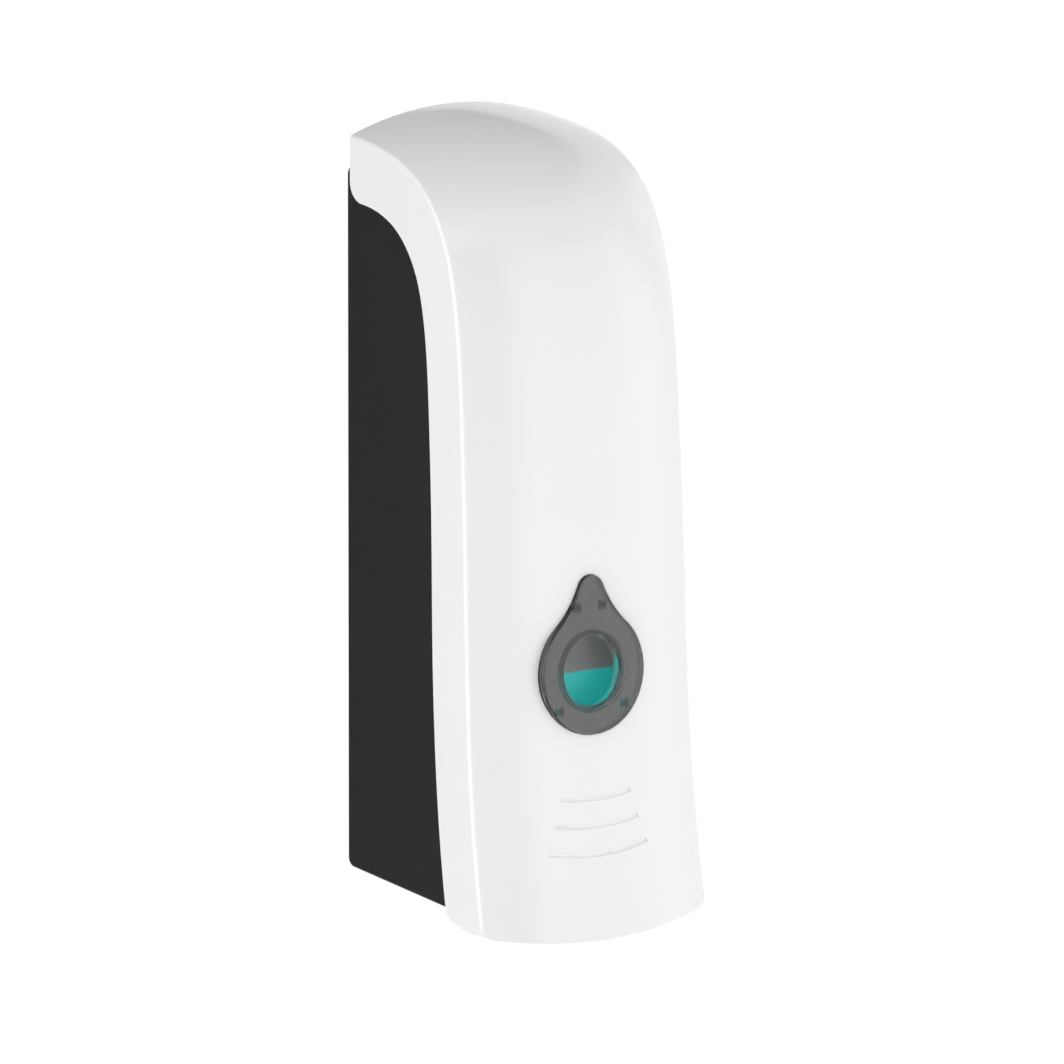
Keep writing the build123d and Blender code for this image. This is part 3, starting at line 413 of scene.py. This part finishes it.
# %% Silicone
silicone, silicone_surface, place = new_finish("translucent_silicone")
dust = add_node(silicone, "ShaderNodeTexNoise", Vector=place, Scale=features(0.7), Detail=3.0)
pale = add_node(silicone, "ShaderNodeMix", {"data_type": "RGBA"}, _0=dust.outputs[0],
                _6=hex_to_linear("#C6CBCA"), _7=hex_to_linear("#D8DCDA"))
soft = add_node(silicone, "ShaderNodeMapRange", Value=dust.outputs[0], To_Min=0.35, To_Max=0.55)
join(silicone, add_node(silicone, "ShaderNodeBsdfPrincipled", Base_Color=pale.outputs[2],
                        Roughness=soft.outputs[0], IOR=1.41, Subsurface_Weight=0.4,
                        Subsurface_Scale=2 * MM), silicone_surface)
dress(silicone, "duckbill_valve")

# %% [markdown]
# ## Stainless steel, ground and drawn
# Pins are ground and wire is drawn, and both leave fine lines along the way the work moved. Noise
# that is squeezed across the pins' length gives those lines in roughness and in height.

# %% Stainless steel
steel, steel_surface, place = new_finish("ground_stainless_steel")
along = add_node(steel, "ShaderNodeMapping", Vector=place, Scale=(0.08, 1.0, 1.0))
lines = add_node(steel, "ShaderNodeTexNoise", Vector=along.outputs[0], Scale=features(0.3), Detail=3.0)
metal = add_node(steel, "ShaderNodeMix", {"data_type": "RGBA"}, _0=lines.outputs[0],
                 _6=hex_to_linear("#B9B8B4"), _7=hex_to_linear("#CFCECB"))
ground = add_node(steel, "ShaderNodeMapRange", Value=lines.outputs[0], To_Min=0.22, To_Max=0.4)
marks = add_node(steel, "ShaderNodeBump", Height=lines.outputs[0], Distance=0.006 * MM, Strength=0.6)
join(steel, add_node(steel, "ShaderNodeBsdfPrincipled", Base_Color=metal.outputs[2], Metallic=1.0,
                     Roughness=ground.outputs[0], Normal=marks.outputs[0]), steel_surface)
dress(steel, "pivot_pins", "tilt_pins", "latch_spring", "return_spring", "lid_pin", "bracket_screws",
      "retaining_clip", "inlet_ball")

# %% [markdown]
# ## How a small piece is modelled
# Each new piece starts as a primitive at its true size and place, and is then shaped in edit mode as
# by hand: faces are picked by where they are or which way they look, and then inset, extruded,
# bevelled or scaled. Two helpers do what a hand does between those steps. One makes a piece the
# only selected one, and one picks faces. A third says what the piece rides on and what it is made of.

# %% Picking and finishing tools
def only(piece):
    """Makes one piece the only selected and the active one."""
    bpy.ops.object.select_all(action="DESELECT")
    piece.select_set(True)
    bpy.context.view_layer.objects.active = piece


def pick(piece, wanted):
    """Selects the faces for which wanted(centre, normal) is true, and leaves edit mode on."""
    bpy.ops.object.mode_set(mode="EDIT")
    bpy.ops.mesh.select_mode(type="FACE")
    bpy.ops.mesh.select_all(action="DESELECT")
    bpy.ops.object.mode_set(mode="OBJECT")
    for face in piece.data.polygons:
        face.select = wanted(face.center, face.normal)
    bpy.ops.object.mode_set(mode="EDIT")


def place_mesh(piece):
    """Moves a piece's place and turn into its mesh."""
    bpy.ops.object.mode_set(mode="OBJECT")
    only(piece)
    bpy.ops.object.transform_apply(location=True, rotation=True, scale=True)


def copy_to(piece, matrix):
    """A copy of a piece with its own mesh, moved by a matrix."""
    twin = piece.copy()
    twin.data = piece.data.copy()
    twin.data.transform(matrix)
    bpy.context.scene.collection.objects.link(twin)
    return twin


def finish_piece(pieces, name, body, material):
    """Joins copies to one piece, rounds its shading, and gives it a body and a finish."""
    only(pieces[0])
    for twin in pieces[1:]:
        twin.select_set(True)
    if len(pieces) > 1:
        bpy.ops.object.join()
    piece = bpy.context.object
    piece.name = name
    bpy.ops.object.mode_set(mode="EDIT")
    bpy.ops.mesh.select_all(action="SELECT")
    bpy.ops.mesh.remove_doubles(threshold=0.01 * MM)
    bpy.ops.mesh.normals_make_consistent(inside=False)
    bpy.ops.object.mode_set(mode="OBJECT")
    bpy.ops.object.shade_smooth_by_angle(angle=math.radians(32))
    piece.data.materials.clear()
    piece.data.materials.append(material)
    piece.select_set(False)
    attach(piece, body)
    print(name, "has", len(piece.data.polygons), "faces and rides on", body)
    return piece


print("helpers ready")

# %% [markdown]
# ## Pan-head screws with a cross recess
# Four small screws hold the pump's yoke to the tray. A screw maker heads the wire cold, which gives
# the low dome, and punches a tapered cross into it. The head is a cylinder whose front rim is
# bevelled in five steps, its shank is extruded from the back, and the cross is cut by two tapered
# blocks. A texture of a cross would be quicker, but it has no walls for the light to catch.

# %% One screw
screw_low, screw_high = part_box("bracket_screws")
HEAD_RADIUS = 3.0 * MM
HEAD_HEIGHT = 1.9 * MM
SHANK_RADIUS = 1.5 * MM
POINT = 1.2 * MM             # tapered end of the shank
head_mid = Vector((screw_high.x - HEAD_RADIUS, screw_low.y + HEAD_HEIGHT / 2, screw_high.z - HEAD_RADIUS))
bpy.ops.mesh.primitive_cylinder_add(vertices=40, radius=HEAD_RADIUS, depth=HEAD_HEIGHT,
                                    location=head_mid, rotation=(math.pi / 2, 0, 0))
screw = bpy.context.object
place_mesh(screw)
pick(screw, lambda centre, normal: normal.y > 0.9)
bpy.ops.mesh.inset(thickness=HEAD_RADIUS - SHANK_RADIUS)
shank = screw_high.y - screw_low.y - HEAD_HEIGHT
bpy.ops.mesh.extrude_region_move(TRANSFORM_OT_translate={"value": (0, shank - POINT, 0)})
bpy.ops.mesh.extrude_region_move(TRANSFORM_OT_translate={"value": (0, POINT, 0)})
bpy.ops.transform.resize(value=(0.45, 1, 0.45), center_override=(head_mid.x, screw_high.y, head_mid.z))
pick(screw, lambda centre, normal: normal.y < -0.9)
bpy.ops.mesh.bevel(offset=1.05 * MM, segments=5, affect="EDGES")
bpy.ops.object.mode_set(mode="OBJECT")
print("screw is", round((screw_high.y - screw_low.y) / MM, 1), "mm long")

# %% The cross recess, and three more screws
RECESS_DEPTH = 1.1 * MM
RECESS_SPAN = 2.9 * MM
RECESS_SLOT = 0.62 * MM
blade_mid = (head_mid.x, screw_low.y + RECESS_DEPTH / 2 - 0.5 * MM, head_mid.z)
for width, height in ((RECESS_SPAN, RECESS_SLOT), (RECESS_SLOT, RECESS_SPAN)):
    bpy.ops.mesh.primitive_cube_add(size=1, location=blade_mid,
                                    scale=(width, RECESS_DEPTH + 1.0 * MM, height))
    blade = bpy.context.object
    place_mesh(blade)
    pick(blade, lambda centre, normal: normal.y > 0.9)
    bpy.ops.transform.resize(value=(0.6, 1, 0.6), center_override=(head_mid.x, 0, head_mid.z))
    bpy.ops.object.mode_set(mode="OBJECT")
    only(screw)
    cut = screw.modifiers.new("recess", "BOOLEAN")
    cut.operation = "DIFFERENCE"
    cut.object = blade
    bpy.ops.object.modifier_apply(modifier=cut.name)
    bpy.data.objects.remove(blade, do_unlink=True)
screws = [screw]
for x in (screw_high.x - HEAD_RADIUS, screw_low.x + HEAD_RADIUS):
    for z in (screw_high.z - HEAD_RADIUS, screw_low.z + HEAD_RADIUS):
        if (Vector((x, 0, z)) - Vector((head_mid.x, 0, head_mid.z))).length > MM:
            screws.append(copy_to(screw, Matrix.Translation((x - head_mid.x, 0, z - head_mid.z))))
screws = finish_piece(screws, "yoke_screws", "housing", steel)
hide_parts("bracket_screws")

# %% [markdown]
# ## The duckbill
# The no-drip valve is a silicone duckbill: a round skirt that runs down to two flat lips with a slit
# between them. Soap parts the lips, and they close by themselves. The skirt is a short cylinder, the
# bill is extruded from its foot and squeezed flat, and the slit is a narrow inset pushed back up.

# %% Duckbill valve
valve_low, valve_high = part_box("duckbill_valve")
SKIRT = 1.0 * MM
SHOULDER = 0.5 * MM
NECK = 0.8 * MM
SLIT_DEPTH = 1.2 * MM
spout = Vector(((valve_low.x + valve_high.x) / 2, (valve_low.y + valve_high.y) / 2, 0))
bpy.ops.mesh.primitive_cylinder_add(vertices=40, radius=(valve_high.x - valve_low.x) / 2, depth=SKIRT,
                                    location=(spout.x, spout.y, valve_high.z - SKIRT / 2))
duckbill = bpy.context.object
place_mesh(duckbill)
pick(duckbill, lambda centre, normal: normal.z < -0.9)
bpy.ops.transform.resize(value=(0.86, 0.86, 1), center_override=(spout.x, spout.y, 0))
bpy.ops.mesh.inset(thickness=0.7 * MM)
bpy.ops.mesh.extrude_region_move(TRANSFORM_OT_translate={"value": (0, 0, -SHOULDER)})
bpy.ops.mesh.extrude_region_move(TRANSFORM_OT_translate={"value": (0, 0, -NECK)})
bpy.ops.transform.resize(value=(0.98, 0.55, 1), center_override=(spout.x, spout.y, 0))
bill = valve_high.z - valve_low.z - SKIRT - SHOULDER - NECK
bpy.ops.mesh.extrude_region_move(TRANSFORM_OT_translate={"value": (0, 0, -bill)})
bpy.ops.transform.resize(value=(0.95, 0.5, 1), center_override=(spout.x, spout.y, 0))
bpy.ops.mesh.extrude_region_move(TRANSFORM_OT_translate={"value": (0, 0, 0)})
bpy.ops.transform.resize(value=(0.8, 0.25, 1), center_override=(spout.x, spout.y, 0))
bpy.ops.mesh.extrude_region_move(TRANSFORM_OT_translate={"value": (0, 0, SLIT_DEPTH)})
bpy.ops.object.mode_set(mode="OBJECT")
duckbill = finish_piece([duckbill], "duckbill_lips", "housing", silicone)
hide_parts("duckbill_valve")

# %% [markdown]
# ## Grip ridges on the lid
# A wet finger slides on smooth acetal, so the lid has half-round ridges beside its tab. Each is a rod
# with rounded ends that is cut in half along its length, so only the upper half stands on the lid.

# %% Lid ridges
lid_low, lid_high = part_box("tank_lid")
RIDGE_RADIUS = 0.5 * MM
RIDGE_LENGTH = 16 * MM
RIDGE_PITCH = 1.8 * MM
lid_face = lid_high.z - 1.5 * MM
bpy.ops.mesh.primitive_cylinder_add(vertices=24, radius=RIDGE_RADIUS, depth=RIDGE_LENGTH,
                                    location=(0, lid_low.y + 6.2 * MM, lid_face),
                                    rotation=(0, math.pi / 2, 0))
ridge = bpy.context.object
place_mesh(ridge)
pick(ridge, lambda centre, normal: abs(normal.x) > 0.9)
bpy.ops.mesh.bevel(offset=0.3 * MM, segments=3, affect="EDGES")
bpy.ops.mesh.select_all(action="SELECT")
bpy.ops.mesh.bisect(plane_co=(0, 0, lid_face - 0.1 * MM), plane_no=(0, 0, 1), clear_inner=True, use_fill=True)
bpy.ops.object.mode_set(mode="OBJECT")
ridges = [ridge] + [copy_to(ridge, Matrix.Translation((0, k * RIDGE_PITCH, 0))) for k in range(1, 6)]
finish_piece(ridges, "lid_grip_ridges", "lid", grey_pom)

# %% [markdown]
# ## Level marks on the tank
# Whoever fills the tank looks at its front, so the blow mould has low bars engraved in it that stand
# out of the tank's wall: a long one at every second step and short ones between. They carry no
# figures. Each bar is a block with bevelled edges. A ray finds where the tank's front wall is at
# that height, so that every bar sits in the wall by the same small depth.

# %% Level marks
MARK_COUNT = 9
LOWEST_MARK = -20 * MM
MARK_STEP = 12.0 * MM
MARK_LENGTHS = (9.0 * MM, 5.0 * MM)    # long and short, by turns
MARK_PROUD = 0.35 * MM
AHEAD = -0.2                 # a place in front of the whole dispenser
marks_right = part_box("soap_tank")[1].x - 9 * MM
marks = []
for step in range(MARK_COUNT):
    mark_length = MARK_LENGTHS[step % 2]
    start = (marks_right - mark_length / 2, AHEAD, LOWEST_MARK + step * MARK_STEP)
    _, spot, normal, _ = nodes["soap_tank"].ray_cast(start, (0, 1, 0))
    bpy.ops.mesh.primitive_cube_add(size=1, location=spot, scale=(mark_length, 2 * MARK_PROUD, 1.0 * MM))
    mark = bpy.context.object
    mark.rotation_euler = normal.to_track_quat("-Y", "Z").to_euler()
    place_mesh(mark)
    pick(mark, lambda centre, facing: facing.y < -0.9)
    bpy.ops.mesh.bevel(offset=0.25 * MM, segments=3, affect="EDGES")
    bpy.ops.object.mode_set(mode="OBJECT")
    marks.append(mark)
print("marks stand at y from", round(min(m.data.vertices[0].co.y for m in marks) / MM, 1), "mm")
finish_piece(marks, "tank_level_marks", "housing", smoke_pp)

# %% [markdown]
# ## Ejector marks inside the cover
# The cover leaves its tool on round pins, and each pin leaves a shallow ring on the inside. They are
# seen when the cover is tipped forward. One ring is modelled flat: a disc with a bevelled rim, whose
# face is inset and sunk. Rays from inside find the wall and its slope, and a copy is set at each.

# %% Ejector marks
PIN_MARK_RADIUS = 3.0 * MM
PIN_COLUMN = 24 * MM         # how far from the middle the pins stand
INSIDE = -30 * MM            # a place behind the cover's front wall
bpy.ops.mesh.primitive_cylinder_add(vertices=36, radius=PIN_MARK_RADIUS, depth=0.7 * MM, location=(0, 0, 0))
pin_mark = bpy.context.object
place_mesh(pin_mark)
pick(pin_mark, lambda centre, normal: normal.z > 0.9)
bpy.ops.mesh.bevel(offset=0.15 * MM, segments=2, affect="EDGES")
pick(pin_mark, lambda centre, normal: normal.z > 0.99 and centre.length < MM)
bpy.ops.mesh.inset(thickness=0.5 * MM)
bpy.ops.mesh.extrude_region_move(TRANSFORM_OT_translate={"value": (0, 0, -0.25 * MM)})
bpy.ops.object.mode_set(mode="OBJECT")
pin_marks = []
for height_mm in (92, 58, 24, -76, -104):
    for side in (-1, 1):
        start = (side * PIN_COLUMN, INSIDE, height_mm * MM)
        _, spot, normal, _ = nodes["front_cover"].ray_cast(start, (0, -1, 0))
        facing = normal if normal.y > 0 else -normal
        turn = facing.to_track_quat("Z", "Y").to_matrix().to_4x4()
        pin_marks.append(copy_to(pin_mark, Matrix.Translation(spot) @ turn))
bpy.data.objects.remove(pin_mark, do_unlink=True)
finish_piece(pin_marks, "ejector_marks", "cover", white_abs)

# %% [markdown]
# ## Two wound springs
# Steel wire is wound on a mandrel to a helix. The wire's round section is drawn once beside the axis,
# and a Screw modifier winds it up, which is also how the winder makes it. One spring returns the
# plunger and the other lifts the latch. Both get shorter when they are used, but here each only rides
# on its body and keeps its wound length.

# %% Winding a spring
def wind_spring(coil_radius, wire_radius, height, turns):
    """A spring that stands on the origin, along Z, with closed wire ends."""
    bpy.ops.mesh.primitive_circle_add(vertices=14, radius=wire_radius, fill_type="NOTHING",
                                      location=(coil_radius, 0, wire_radius), rotation=(math.pi / 2, 0, 0))
    coil = bpy.context.object
    place_mesh(coil)
    winding = coil.modifiers.new("winding", "SCREW")
    winding.axis = "Z"
    winding.screw_offset = (height - 2 * wire_radius) / turns
    winding.iterations = turns
    winding.steps = winding.render_steps = 40
    bpy.ops.object.modifier_apply(modifier=winding.name)
    bpy.ops.object.mode_set(mode="EDIT")
    bpy.ops.mesh.select_mode(type="EDGE")
    bpy.ops.mesh.select_all(action="DESELECT")
    bpy.ops.mesh.select_non_manifold()
    bpy.ops.mesh.fill_holes(sides=0)
    bpy.ops.object.mode_set(mode="OBJECT")
    return coil


def middle(low, high):
    """The middle of a box."""
    return (low + high) / 2


# %% Pump spring and latch spring
low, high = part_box("return_spring")
PUMP_WIRE = 0.6 * MM
length = high.y - low.y
pump_spring = wind_spring((high.x - low.x) / 2 - PUMP_WIRE, PUMP_WIRE, length, 5)
foot = Vector((middle(low, high).x, high.y, middle(low, high).z))
pump_spring.data.transform(Matrix.Translation(foot) @ Matrix.Rotation(math.pi / 2, 4, "X"))
finish_piece([pump_spring], "pump_spring", "housing", steel)
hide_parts("return_spring")
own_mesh(pump_spring)
low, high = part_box("latch_spring")
LATCH_WIRE = 0.3 * MM
length = high.z - low.z
latch_coil = wind_spring((high.x - low.x) / 2 - LATCH_WIRE, LATCH_WIRE, length, 4)
foot = Vector((middle(low, high).x, middle(low, high).y, low.z))
latch_coil.data.transform(Matrix.Translation(foot))
finish_piece([latch_coil], "latch_coil", "push_frame", steel)
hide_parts("latch_spring")
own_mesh(latch_coil)
